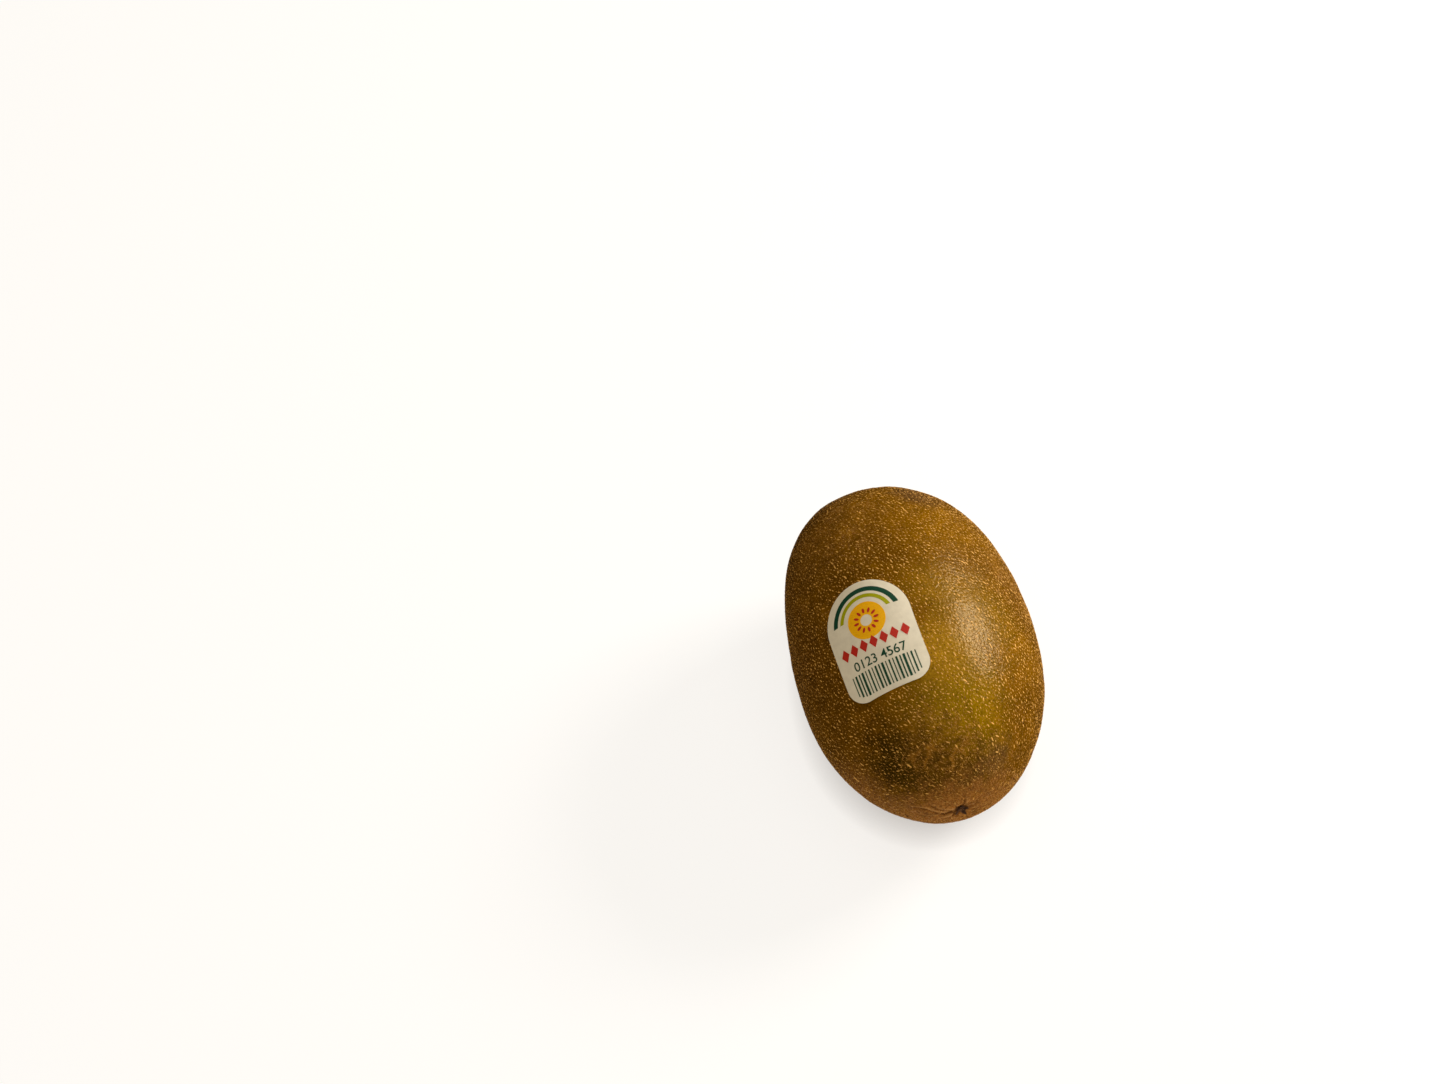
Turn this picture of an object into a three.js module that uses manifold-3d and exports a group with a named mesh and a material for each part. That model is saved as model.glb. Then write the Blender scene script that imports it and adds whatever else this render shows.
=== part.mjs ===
// A golden kiwi fruit lying on its side, with a printed film label stuck on it. Millimetres, +Z up.
// The fruit is one grown body. Its long axis runs along Y: the stem end points to +Y and the blossom
// end to -Y. It rests on a small flattened spot, whose plane is Z = 0. The label is a separate thin film
// that follows the skin on the upper side.
import * as THREE from 'three';
import { mergeVertices } from 'three/addons/utils/BufferGeometryUtils.js';
import Module from 'manifold-3d';

// Driving dimensions of the body.
const LENGTH = 77.0; // stem end to blossom end
const WIDTH = 51.0; // across, as it lies
const HEIGHT = 48.0; // through the thinner way of the oval section, before the spot is flattened
const BLUNTNESS = { blossom: 2.01, stem: 2.33 }; // power of the profile at each end: 2 is an ellipse
const REST_DEPTH = 0.3; // how much the skin is pressed flat where the fruit rests

// The lopsided growth of the body, as shallow swellings: height, how many stand round the section,
// their turn, and how far they drift round from the middle to an end.
const SWELLS = [
  { height: 0.27, lobes: 0, turn: -1.79, drift: 1.73 },
  { height: 0.66, lobes: 1, turn: 0.12, drift: 0.89 },
  { height: 0.56, lobes: 2, turn: -2.53, drift: -0.36 },
  { height: 0.66, lobes: 3, turn: 2.35, drift: 1.54 },
];

// Stem end: a hollow with a woody ring, the scar left by the stalk, and the dried sepals.
const STEM_HOLLOW = { depth: 1.5, radius: 7.0 };
const STEM_RING = { height: 0.6, radius: 5.0, width: 1.0 };
const STALK_SCAR = { height: 0.7, radius: 1.9, pit: 0.5, pitRadius: 0.75 };
const SEPALS = { count: 5, root: 2.9, length: 3.7, width: 4.6, thickness: 0.6, rise: 0.3, sink: 0.45 };

// Blossom end: a small pit with the dried styles lying in it, and folds of skin round one side.
const BLOSSOM_PIT = { depth: 0.7, radius: 2.1 };
const FOLDS = { height: 0.16, first: 3.0, pitch: 1.5, count: 3, side: 0.9 };
const STYLES = { count: 6, length: 2.1, width: 0.8, thickness: 0.62 };

// Label: an arch-topped film with round lower corners.
const LABEL = { width: 18.2, height: 24.7, corner: 4.0, thickness: 0.4, gap: 0.15 };
const LABEL_PLACE = { along: -6.5, round: -0.449, turn: 0 };

// How finely the surfaces are divided.
const SECTION_SIDES = 60;
const STEM_RINGS = 15;
const BODY_RINGS = 36;
const BLOSSOM_RINGS = 19;
const END_ANGLE = 0.33; // where the fine rings of each end stop, in radians from the pole
const LABEL_SIDES = 56;
const LABEL_RINGS = 6;

const SEED = 41;
const HALF_LENGTH = LENGTH / 2;
const HALF_WIDTH = WIDTH / 2;
const HALF_HEIGHT = HEIGHT / 2;

const wasm = await Module();
wasm.setup();

function randomFrom(seed) {
  let state = seed;
  return () => {
    state = (Math.imul(state, 1664525) + 1013904223) >>> 0;
    return state / 4294967296;
  };
}

const bell = (x, width) => Math.exp(-((x / width) ** 2));

function smooth(x, low, high) {
  return THREE.MathUtils.smoothstep(x, low, high);
}

// Height of the stem end's relief at a distance from the axis, outwards along +Y.
function stemRelief(radius) {
  const hollow = -STEM_HOLLOW.depth * bell(radius, STEM_HOLLOW.radius);
  const ring = STEM_RING.height * bell(radius - STEM_RING.radius, STEM_RING.width);
  const scar = STALK_SCAR.height * (1 - smooth(radius, STALK_SCAR.radius - 0.4, STALK_SCAR.radius + 0.4));
  const pit = -STALK_SCAR.pit * bell(radius, STALK_SCAR.pitRadius);
  return hollow + ring + scar + pit;
}

// Height of the blossom end's relief, outwards along -Y. The folds fade out round the other side.
function blossomRelief(radius, around) {
  const pit = -BLOSSOM_PIT.depth * bell(radius, BLOSSOM_PIT.radius);
  const last = FOLDS.first + FOLDS.pitch * FOLDS.count;
  const band = smooth(radius, FOLDS.first - 0.8, FOLDS.first) * (1 - smooth(radius, last - 0.6, last + 0.4));
  const wave = Math.cos((2 * Math.PI * (radius - FOLDS.first)) / FOLDS.pitch);
  const share = 0.5 + 0.5 * Math.cos(around - FOLDS.side);
  return pit + FOLDS.height * wave * band * share;
}

// The profile's power, which changes smoothly from one end to the other.
function bluntness(polar) {
  const cosine = Math.cos(polar);
  const share = 0.5 + 0.25 * cosine * (3 - cosine * cosine);
  return THREE.MathUtils.lerp(BLUNTNESS.blossom, BLUNTNESS.stem, share);
}

// The profile of the body: how far along the axis and how far out, each as a share of its greatest.
function reachAt(polar) {
  const cosine = Math.cos(polar);
  return Math.sign(cosine) * Math.abs(cosine) ** (2 / bluntness(polar));
}

function girthAt(polar) {
  return Math.max(0, Math.sin(polar)) ** (2 / bluntness(polar));
}

// A point of the skin. The angle polar runs from 0 at the stem end's pole to pi at the blossom end's,
// and around turns about the long axis from +Z towards +X.
function skinPoint(polar, around) {
  const reach = reachAt(polar);
  const girth = girthAt(polar);
  let swell = 0;
  for (const s of SWELLS) {
    swell += s.height * Math.sin(s.lobes * around + s.turn + s.drift * reach);
  }
  const radius = girth * HALF_WIDTH;
  const x = (girth * HALF_WIDTH + girth * girth * swell) * Math.sin(around);
  const z = (girth * HALF_HEIGHT + girth * girth * swell) * Math.cos(around);
  const relief = reach > 0 ? stemRelief(radius) : -blossomRelief(radius, around);
  return new THREE.Vector3(x, reach * HALF_LENGTH + relief, z);
}

function skinNormal(polar, around) {
  const step = 1e-3;
  const along = skinPoint(polar + step, around).sub(skinPoint(polar - step, around));
  const across = skinPoint(polar, around + step).sub(skinPoint(polar, around - step));
  return along.cross(across).normalize();
}

// The polar angle at which the skin is at a place along the axis, found by halving.
function polarAt(along) {
  let low = 0;
  let high = Math.PI;
  for (let i = 0; i < 30; i++) {
    const middle = (low + high) / 2;
    if (reachAt(middle) * HALF_LENGTH > along) low = middle;
    else high = middle;
  }
  return (low + high) / 2;
}

// Only the position is kept, so that the vertices that meet at a seam or a pole become one.
function merged(geometry) {
  geometry.deleteAttribute('normal');
  geometry.deleteAttribute('uv');
  return mergeVertices(geometry, 1e-4);
}

function solidOf(geometry) {
  const closed = merged(geometry);
  return new wasm.Manifold(
    new wasm.Mesh({
      numProp: 3,
      vertProperties: new Float32Array(closed.attributes.position.array),
      triVerts: new Uint32Array(closed.index.array),
    }),
  );
}

function geometryOf(solid) {
  const mesh = solid.getMesh();
  const geometry = new THREE.BufferGeometry();
  geometry.setAttribute('position', new THREE.BufferAttribute(mesh.vertProperties, 3));
  geometry.setIndex(new THREE.BufferAttribute(mesh.triVerts, 1));
  geometry.computeVertexNormals();
  return geometry;
}

// Moves every vertex of a geometry to where place(vertex) says.
function reshape(geometry, place) {
  const positions = geometry.attributes.position;
  const vertex = new THREE.Vector3();
  for (let i = 0; i < positions.count; i++) {
    vertex.fromBufferAttribute(positions, i);
    const moved = place(vertex);
    positions.setXYZ(i, moved.x, moved.y, moved.z);
  }
  return geometry;
}

// The polar angles of the rings, close together at both ends.
function ringAngles() {
  const angles = [];
  for (let i = 0; i < BLOSSOM_RINGS; i++) angles.push((END_ANGLE * i) / BLOSSOM_RINGS);
  for (let i = 0; i < BODY_RINGS; i++) {
    angles.push(END_ANGLE + ((Math.PI - 2 * END_ANGLE) * i) / BODY_RINGS);
  }
  for (let i = STEM_RINGS; i >= 0; i--) angles.push(Math.PI - (END_ANGLE * i) / STEM_RINGS);
  return angles;
}

// A ball of rings turned about the long axis, with each vertex then moved onto the skin.
function body() {
  const profile = ringAngles().map((a) => new THREE.Vector2(Math.max(0, Math.sin(a)), -Math.cos(a)));
  profile[0].x = 0;
  profile[profile.length - 1].x = 0;
  const ball = new THREE.LatheGeometry(profile, SECTION_SIDES);
  const placed = reshape(ball, (v) => {
    const radius = Math.hypot(v.x, v.z);
    if (radius < 1e-9) return skinPoint(v.y > 0 ? 0 : Math.PI, 0);
    return skinPoint(Math.atan2(radius, v.y), Math.atan2(v.x, v.z));
  });
  return solidOf(placed);
}

// One dried sepal: a pointed, cupped blade with a ragged tip, rooted in the woody ring and standing
// a little off the skin at its tip.
function sepal(turn, random) {
  const lean = 0.8 + 0.5 * random();
  const long = SEPALS.length * (0.75 + 0.4 * random());
  const wide = SEPALS.width * (0.85 + 0.3 * random());
  const twist = (random() - 0.5) * 0.5;
  const blade = new THREE.BoxGeometry(1, 1, 1, 6, 1, 7);
  reshape(blade, (v) => {
    const out = v.z + 0.5;
    const side = 2 * v.x;
    const taper = 1 - 0.88 * out ** 1.7 + 0.07 * Math.sin(17 * out + 5 * turn);
    const across = (side * taper * wide) / 2;
    const radius = SEPALS.root + out * long + twist * across * out;
    const around = turn + across / (SEPALS.root + out * long);
    const lift = -SEPALS.sink + SEPALS.rise * lean * out ** 1.5 + 0.16 * side * side * out;
    const floor = HALF_LENGTH * (1 - (radius / HALF_WIDTH) ** BLUNTNESS.stem) ** (1 / BLUNTNESS.stem);
    const y = floor + stemRelief(radius) + lift + SEPALS.thickness * (v.y + 0.5);
    return new THREE.Vector3(radius * Math.sin(around), y, radius * Math.cos(around));
  });
  return solidOf(blade);
}

// One dried style: a slim grain lying outwards from the middle of the pit.
function style(turn, random) {
  const long = STYLES.length * (0.7 + 0.6 * random());
  const bend = (random() - 0.5) * 0.9;
  const grain = new THREE.SphereGeometry(0.5, 8, 6);
  reshape(grain, (v) => {
    const out = (v.z + 0.5) * long;
    const across = v.x * STYLES.width + (bend * out * out) / 3;
    const floor = -HALF_LENGTH + BLOSSOM_PIT.depth * bell(out, BLOSSOM_PIT.radius);
    const y = floor - 0.12 + v.y * STYLES.thickness;
    return new THREE.Vector3(across, y, out).applyAxisAngle(new THREE.Vector3(0, 1, 0), turn);
  });
  return solidOf(grain);
}

// The block below the plane on which the fruit rests, a little above the solid's lowest point.
function ground(solid) {
  const plane = solid.boundingBox().min[2] + REST_DEPTH;
  const block = new THREE.BoxGeometry(LENGTH, LENGTH, HEIGHT);
  block.translate(0, 0, plane - HEIGHT / 2);
  return solidOf(block);
}

function fruit() {
  const random = randomFrom(SEED);
  let solid = body();
  for (let i = 0; i < SEPALS.count; i++) {
    solid = solid.add(sepal((2 * Math.PI * (i + 0.24 * random())) / SEPALS.count, random));
  }
  for (let i = 0; i < STYLES.count; i++) {
    solid = solid.add(style((2 * Math.PI * (i + 0.35 * random())) / STYLES.count, random));
  }
  return geometryOf(solid.subtract(ground(solid)));
}

// The label's flat outline, centred, with its arch towards +Y.
function labelOutline() {
  const half = LABEL.width / 2;
  const low = -LABEL.height / 2;
  const spring = LABEL.height / 2 - half;
  const outline = new THREE.Shape();
  outline.absarc(0, spring, half, 0, Math.PI);
  outline.absarc(-half + LABEL.corner, low + LABEL.corner, LABEL.corner, Math.PI, 1.5 * Math.PI);
  outline.absarc(half - LABEL.corner, low + LABEL.corner, LABEL.corner, 1.5 * Math.PI, 2 * Math.PI);
  outline.closePath();
  return outline;
}

// The place of a flat point of the label on the skin, raised along the skin's normal.
function onSkin(across, up, raised) {
  const flat = new THREE.Vector2(across, up).rotateAround(new THREE.Vector2(), LABEL_PLACE.turn);
  const along = LABEL_PLACE.along + flat.y;
  const polar = polarAt(along);
  const radius = HALF_WIDTH * girthAt(polar);
  const around = LABEL_PLACE.round + flat.x / radius;
  return skinPoint(polar, around).addScaledVector(skinNormal(polar, around), raised);
}

// A thin disc of rings, stretched to the label's outline and laid on the skin.
function label() {
  const rim = labelOutline().getSpacedPoints(LABEL_SIDES);
  const profile = [];
  for (let i = 0; i <= LABEL_RINGS; i++) profile.push(new THREE.Vector2(i / LABEL_RINGS, 1));
  for (let i = LABEL_RINGS; i >= 0; i--) profile.push(new THREE.Vector2(i / LABEL_RINGS, 0));
  const disc = new THREE.LatheGeometry(profile, LABEL_SIDES);
  const placed = reshape(disc, (v) => {
    const share = Math.hypot(v.x, v.z);
    const turn = Math.atan2(v.z, v.x);
    const side = Math.round((turn / (2 * Math.PI)) * LABEL_SIDES);
    const edge = rim[(side + LABEL_SIDES) % LABEL_SIDES];
    return onSkin(edge.x * share, edge.y * share, LABEL.gap + v.y * LABEL.thickness);
  });
  return geometryOf(solidOf(placed));
}

function piece(name, geometry, material) {
  const mesh = new THREE.Mesh(geometry, material);
  mesh.name = name;
  return mesh;
}

const skin = new THREE.MeshStandardMaterial({ color: 0x83641c, roughness: 0.55, metalness: 0 });
const film = new THREE.MeshStandardMaterial({ color: 0xe8e1cf, roughness: 0.45, metalness: 0 });

const kiwi = new THREE.Group();
kiwi.add(piece('fruit', fruit(), skin));
kiwi.add(piece('label', label(), film));

// The origin is under the middle of the whole, on the plane it rests on.
const bounds = new THREE.Box3().setFromObject(kiwi);
const middle = bounds.getCenter(new THREE.Vector3());
kiwi.position.set(-middle.x, -middle.y, -bounds.min.z);

export default kiwi;
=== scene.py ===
"""Looks of a golden kiwi fruit that lies on its side, with a printed film label on its skin.

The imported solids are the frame: +Y runs along the fruit to the stem end, and Z = 0 is what it rests on.
Sizes here are in millimetres and angles in radians, and a place becomes metres where a mesh gets it. A place
on the skin is given by how far along the fruit it lies, from the middle towards the stem end, and how far
round, from +Z towards +X.
"""

import math

import bpy
import numpy as np
from mathutils import Matrix, Vector, noise
from mathutils.bvhtree import BVHTree


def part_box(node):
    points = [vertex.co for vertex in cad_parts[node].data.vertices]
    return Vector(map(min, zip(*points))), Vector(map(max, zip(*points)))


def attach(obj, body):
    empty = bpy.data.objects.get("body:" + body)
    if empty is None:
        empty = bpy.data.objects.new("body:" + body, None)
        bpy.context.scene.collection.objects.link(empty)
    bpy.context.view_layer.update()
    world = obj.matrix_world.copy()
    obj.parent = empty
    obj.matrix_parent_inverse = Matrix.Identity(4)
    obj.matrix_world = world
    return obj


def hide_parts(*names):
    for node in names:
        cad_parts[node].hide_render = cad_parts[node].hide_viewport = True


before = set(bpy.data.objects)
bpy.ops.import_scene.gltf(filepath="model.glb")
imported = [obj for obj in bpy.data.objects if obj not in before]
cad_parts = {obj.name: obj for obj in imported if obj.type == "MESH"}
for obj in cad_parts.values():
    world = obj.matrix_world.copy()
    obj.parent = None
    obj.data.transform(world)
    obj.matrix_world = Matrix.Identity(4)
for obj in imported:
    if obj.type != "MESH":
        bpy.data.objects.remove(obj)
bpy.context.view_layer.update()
bpy.ops.object.select_all(action="DESELECT")

MM = 0.001
SEED = 41
TINY = 1e-4  # a small angle, to take slopes with


def rows(names, *values):
    """Rows of values, each with its names."""
    return [dict(zip(names.split(), row)) for row in values]


# ---- sizes of the fruit

# The body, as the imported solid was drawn.
HALF_LENGTH = 38.5
HALF_WIDTH = 25.5
HALF_HEIGHT = 24.0
BLUNTNESS = {"blossom": 2.01, "stem": 2.33}
SWELLS = rows(
    "height lobes turn drift",
    (0.27, 0, -1.79, 1.73),
    (0.66, 1, 0.12, 0.89),
    (0.56, 2, -2.53, -0.36),
    (0.66, 3, 2.35, 1.54),
)
STEM_HOLLOW = {"depth": 1.5, "radius": 7.0}
STEM_RING = {"height": 0.6, "radius": 5.0, "width": 1.0}
STALK_SCAR = {"height": 0.7, "radius": 1.9, "edge": 0.4, "pit": 0.5, "pit_radius": 0.75}
BLOSSOM_PIT = {"depth": 0.7, "radius": 2.1}

# A soft dent beside the blossom scar: how far round and how far out from the scar it lies.
TIP_DENT = {"round": 1.65, "radius": 6.3, "depth": 0.5, "width": 3.4}

# Fine creases that run out from the blossom scar.
CREASES = rows(
    "round long deep wide",
    (-1.25, 8.5, 0.3, 0.3),
    (-1.5, 12.0, 0.5, 0.34),
    (-1.78, 11.0, 0.45, 0.3),
    (-2.3, 6.0, 0.5, 0.42),
    (-2.8, 5.0, 0.2, 0.28),
    (-0.6, 4.5, 0.2, 0.28),
    (0.1, 5.5, 0.24, 0.3),
    (0.75, 4.0, 0.2, 0.28),
    (1.5, 6.0, 0.26, 0.3),
    (2.1, 4.5, 0.22, 0.28),
)
CREASE_START = (1.2, 2.4)  # each deepens between these distances from the scar
CREASE_FADE = 0.4  # share of its length at which it begins to fade
CREASE_BEND = {"angle": 0.07, "pace": 0.9, "shift": 9}
CREASE_LIP = {"high": 0.8, "out": 1.9}  # the lip beside it, as shares of how deep and how wide it is

# How finely the skin is divided, and how much its rings crowd towards both ends.
SKIN_SEGMENTS = 340
SKIN_RINGS = 280
END_CROWDING = 0.4

# Growth marks of the skin: soft dents, and the peel's fine unevenness.
DENTS = {"size": 9.0, "height": 0.3}
PEEL = {"size": 1.7, "height": 0.07}

# Dried remains at the two ends. At the stem a woody plate, the stalk's scar and five sepals with shreds over
# them lie in the hollow; at the blossom end a star of shreds and fine dried styles stand in the pit.
PLATE = {"inner": 1.2, "outer": 5.5, "sides": 144, "rings": 12, "ragged": 0.45, "lift": 0.12, "thick": 0.3}
SCAR = {"radius": 2.0, "sides": 64, "rings": 9, "lift": 0.35, "thick": 0.5}
SEPALS, SHREDS, STAR = rows(
    "count root long wide thick rise cup",
    (5, 2.6, 3.9, 4.4, 0.2, 0.5, 0.3),
    (9, 1.5, 1.6, 1.3, 0.12, 0.5, 0.35),
    (5, 0.1, 1.75, 1.25, 0.15, 0.4, 0.3),
)
STYLES = {"count": 26, "long": 1.7, "thick": 0.09, "points": 6}
BLADE_GRID = (8, 12)  # faces across and along a blade

# ---- sizes of the cork

# Grains of cork that stand on the skin, longer along the fruit than across. Lenticels, its breathing pores,
# are the upper halves of flattened balls. The grains of russet, which lie in strands, and the dots between
# are low cones. Gap is the least space between their middles, spread is how unlike each other their sizes
# are, and turn is how unevenly they lie.
LENTICELS, RUSSET, DOTS = rows(
    "round_top count long wide high spread turn gap",
    (True, 11000, 0.64, 0.26, 0.14, 0.28, 0.35, 0.68),
    (False, 20000, 0.48, 0.14, 0.09, 0.25, 0.5, 0.22),
    (False, 24000, 0.4, 0.18, 0.08, 0.25, 0.5, 0.44),
)
TRIES = 6  # places tried for each grain
GAP_SHARES = (0.85, 1.25)  # least and greatest share of the gap that one grain keeps
LONG_SPREAD = 0.15  # how unlike each other the lengths are, beside the sizes
GROWTH = {"wide": 0.7, "high": 0.5}  # a larger grain is longer, rather than wider or higher
LEAN = {"mean": -0.6, "swing": -0.25}  # how far they turn from the long axis, and how that varies round it
GRAIN_SINK = 0.25  # how much of a grain's height lies under the skin
FOOT_CLEAR = 0.5  # no grain is lower than this, so that the fruit still rests on its flat spot
ENDS_CLEAR = {"stem": 5.8, "blossom": 1.4}  # no grain is nearer the long axis than this
LABEL_CLEAR = 0.3  # no grain is nearer the label than this
BOX = 0.8  # side of the boxes that taken places are sorted into
WORN = (24.0, 32.0)  # how far towards the blossom end grains begin to be worn down, and are

# The net of russet strands: its meshes, its strands, and the patches that break it.
NET = {"size": 2.4, "width": 0.22, "patch": 5.0, "edge": (0.35, 0.55)}

# ---- sizes of the label

# An arch-topped film with round lower corners.
LABEL = {"width": 18.2, "height": 24.7, "corner": 4.0, "thickness": 0.12, "gap": 0.1}
LABEL_PLACE = {"along": -6.5, "round": -0.449}
LABEL_DICE = 0.6  # greatest size of its faces, so that it follows the skin
LABEL_START = 6.0  # how far out a flat piece starts before it is pressed on
ARCH_SHORT = 0.01  # how much the arch lacks of a half circle, so that its ends stay apart
ARCH_SEGMENTS = 24
CORNER_SEGMENTS = 12
INK_THICKNESS = 0.012
INK_GAP = 0.014

# The printed design: arcs over a disc with seeds, lozenges, plain digits and bars.
DOME = {"up": 3.4, "radius": 4.1, "core": 1.25}
ARCS = (("ink_green", 6.5, 7.5), ("ink_lime", 5.1, 5.9))
ARCS_LOWEST = 1.5
RING_SIDES = 72
SEEDS = {"count": 12, "sides": 12, "out": 2.2, "radius": 0.28, "stretch": 2.1}
LOZENGES = {"count": 7, "sides": 4, "up": -1.6, "pitch": 2.25, "radius": 0.95, "stretch": 1.5}
DIGITS = {"text": "0123 4567", "up": -5.0, "size": 2.75, "bold": 0.02}
BARS = {"count": 19, "high": -6.5, "pitch": 0.78, "foot": 1.0, "early": 0.5, "rise": 0.55}
BAR_WIDTHS = (0.22, 0.42, 0.3, 0.5, 0.22, 0.34)

# ---- colours

# Zones of colour, from the lowest layer up: the place of each one's middle, its reach and edge, how strong it
# is, and how much russet its skin holds.
ZONES = rows(
    "name along round reach soft strength russet",
    ("gold_blush", 18.0, 0.45, 16.0, 0.9, 0.8, 0.1),
    ("green_blush", -6.0, 0.5, 15.0, 0.9, 0.5, 0.0),
    ("green_blush", -25.0, 0.12, 17.0, 0.9, 1.0, 0.0),
    ("green_blush", -29.0, 0.32, 13.0, 0.9, 0.45, 0.0),
    # A pale olive painted highlight, which widens the key lamp's highlight beside the label.
    ("pale_olive", -13.5, 0.03, 11.0, 0.9, 0.9, 0.0),
    ("pale_olive", 0.5, 0.13, 10.0, 0.9, 0.4, 0.0),
    # Brown colour and painted shade, darkening the lower right towards the blossom end.
    ("brown_shade", -26.5, 0.8, 9.0, 0.9, 0.4, 0.0),
    ("green_blush", 4.0, 2.4, 17.0, 0.9, 0.6, 0.0),
    ("gold_blush", 8.0, -2.3, 16.0, 0.9, 0.5, 0.1),
    # Brown colour and painted shade over the side turned away from the key lamp.
    ("brown_shade", 2.0, -1.3, 20.0, 0.9, 0.6, 0.3),
    # Dark olive colour and painted shade on the lower front, towards the blossom end.
    ("grey_olive", -36.5, -0.2, 15.5, 0.7, 0.85, 0.2),
    ("grey_olive", -30.5, -0.78, 12.0, 0.9, 0.95, 0.1),
    ("mauve", -34.0, 0.7, 7.0, 0.9, 0.6, 0.2),
    ("mauve", 28.5, 0.45, 7.5, 0.9, 0.9, 0.3),
    ("russet", 22.0, -0.5, 16.0, 0.8, 0.55, 0.8),
    ("russet", 6.0, 1.15, 11.0, 0.9, 0.5, 0.8),
    ("russet", -30.5, -0.24, 10.5, 0.6, 0.8, 0.9),
    ("russet", -20.0, 2.9, 9.0, 0.8, 0.6, 0.8),
    ("russet", 38.0, 0.0, 10.5, 0.5, 0.8, 0.9),
    ("pale_russet", -28.0, -1.9, 13.0, 0.9, 0.85, 0.7),
    ("pale_russet", -37.5, 3.14, 17.2, 0.45, 0.95, 1.0),
    # Painted shade in the blossom pit round the scar.
    ("scar_shade", -38.5, 0.0, 2.4, 0.7, 0.8, 0.0),
)
ZONE_EDGE = {"at": 1.45, "broken": 0.9}  # in shares of its reach, and how much the mottle breaks it
RUSSET_EDGE = 1.1  # the share of a zone's reach at which its russet ends
COARSE_RUSSET = 0.5  # zones that hold more russet than this have a coarser skin

PALETTE = {
    "olive_gold": "#765000",
    "olive_brown": "#603f00",
    "green_blush": "#806400",
    # pale olive of a painted highlight
    "pale_olive": "#9c7612",
    "gold_blush": "#805800",
    # brown colour that also serves as painted shade
    "brown_shade": "#5a3800",
    # dark olive colour that also serves as painted shade
    "grey_olive": "#332500",
    "mauve": "#5c4122",
    "russet": "#906420",
    "pale_russet": "#885a28",
    # painted shade in the blossom pit
    "scar_shade": "#5a3a22",
    "fleck": "#9a6c22",
    # painted shade in the creases, and a painted highlight on their lips
    "crease": "#4a2a10",
    "lip": "#c4935a",
    # painted shade in the pits of the pores
    "pit": "#2c1a02",
    "cork_pale": "#e6b25e",
    "cork_dark": "#926328",
    "sepal": "#463020",
    "sepal_edge": "#8a6238",
    "scar": "#5c402a",
    "style": "#3c281c",
    "style_edge": "#7c5a42",
    "style_pale": "#a08468",
    "wax": "#ffdfa6",
    "sheen": "#e6c4a0",
    "film": "#ebe8da",
    "ink_amber": "#ffc000",
    "ink_red": "#c42c22",
    "ink_lime": "#a8ac00",
    "ink_green": "#164a38",
    "floor": "#85898f",
    "sky": "#fffdfa",
    "room": "#ffdc9e",
    "lamp": "#fff4e4",
}

# ---- sizes of the studio

FLOOR_SIZE = 40000
# A painted contact shadow dims the table's glow within this distance of the fruit.
PAINTED_SHADOW_REACH = 9  # how far from the fruit the table grows darker
ROOM_LIGHT = 0.18

# Each lamp faces the fruit. Its power is in watts, and shines is whether gloss shows it.
LAMPS = rows(
    "name towards distance wide tall power shines",
    ("key_softbox", (0.82, 0.27, 0.51), 600, 250, 150, 3.5, True),
    ("fill_softbox", (-0.04, -0.12, 1.0), 900, 1000, 1000, 3.9, False),
    ("front_strip", (0.55, -0.83, -0.12), 420, 400, 40, 0.9, False),
    ("left_strip", (-0.7, -0.7, -0.12), 420, 400, 40, 0.25, False),
    ("table_bounce", (-0.2, -0.3, -0.93), 300, 300, 300, 0.7, False),
    ("far_bounce", (0.7, 0.6, -0.4), 420, 300, 300, 0.6, False),
    ("right_strip", (0.95, -0.2, -0.14), 420, 400, 60, 0.3, False),
)

LENS = 85.0
SENSOR = 36.0
CLIP_START = 10
CAMERA = {"azimuth": -19.66, "elevation": 57.16, "distance": 711.2}  # from the fruit's middle, in degrees
LOOK_AT = (-32.28, 37.01, 22.57)

# Settings of nodes, and the colour sockets of a Mix node: the two that it mixes, and its result.
RGBA = {"data_type": "RGBA"}
SMOOTH = {"interpolation_type": "SMOOTHSTEP"}
MULTIPLY = {"operation": "MULTIPLY"}
MULTIPLY_ADD = {"operation": "MULTIPLY_ADD"}
SCALE = {"operation": "SCALE"}
UNDER, OVER, MIXED = 6, 7, 2


# ---- hand tools

def colour(name):
    """A palette colour in linear light, from its sRGB hex value."""
    code = PALETTE[name].lstrip("#")
    parts = [int(code[i:i + 2], 16) / 255 for i in (0, 2, 4)]
    return tuple(p / 12.92 if p <= 0.04045 else ((p + 0.055) / 1.055) ** 2.4 for p in parts) + (1.0,)


def sized(place, size):
    """The inputs of a texture at a place whose features are this many millimetres wide."""
    return {"Vector": place, "Scale": 1 / (size * MM)}


def add(tree, kind, settings={}, inputs={}, output=0):
    """Adds a node with its settings, sets or links its inputs, and returns one of its outputs."""
    new = tree.nodes.new("ShaderNode" + kind)
    for name, value in settings.items():
        setattr(new, name, value)
    for name, value in inputs.items():
        if isinstance(value, bpy.types.NodeSocket):
            tree.links.new(value, new.inputs[name])
        else:
            new.inputs[name].default_value = value
    return new.outputs[output] if new.outputs else None


def new_material(name):
    """An empty node material, and its node tree."""
    material = bpy.data.materials.new(name)
    material.use_nodes = True
    material.node_tree.nodes.clear()
    return material, material.node_tree


def pick(piece):
    """Selects one object and makes it the active one."""
    bpy.ops.object.select_all(action="DESELECT")
    piece.select_set(True)
    bpy.context.view_layer.objects.active = piece


def open_all(piece):
    """Opens a piece in edit mode, with all of it selected."""
    pick(piece)
    bpy.ops.object.mode_set(mode="EDIT")
    bpy.ops.mesh.select_all(action="SELECT")
    return piece


def close(piece):
    """Leaves edit mode."""
    bpy.ops.object.mode_set(mode="OBJECT")
    return piece


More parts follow.
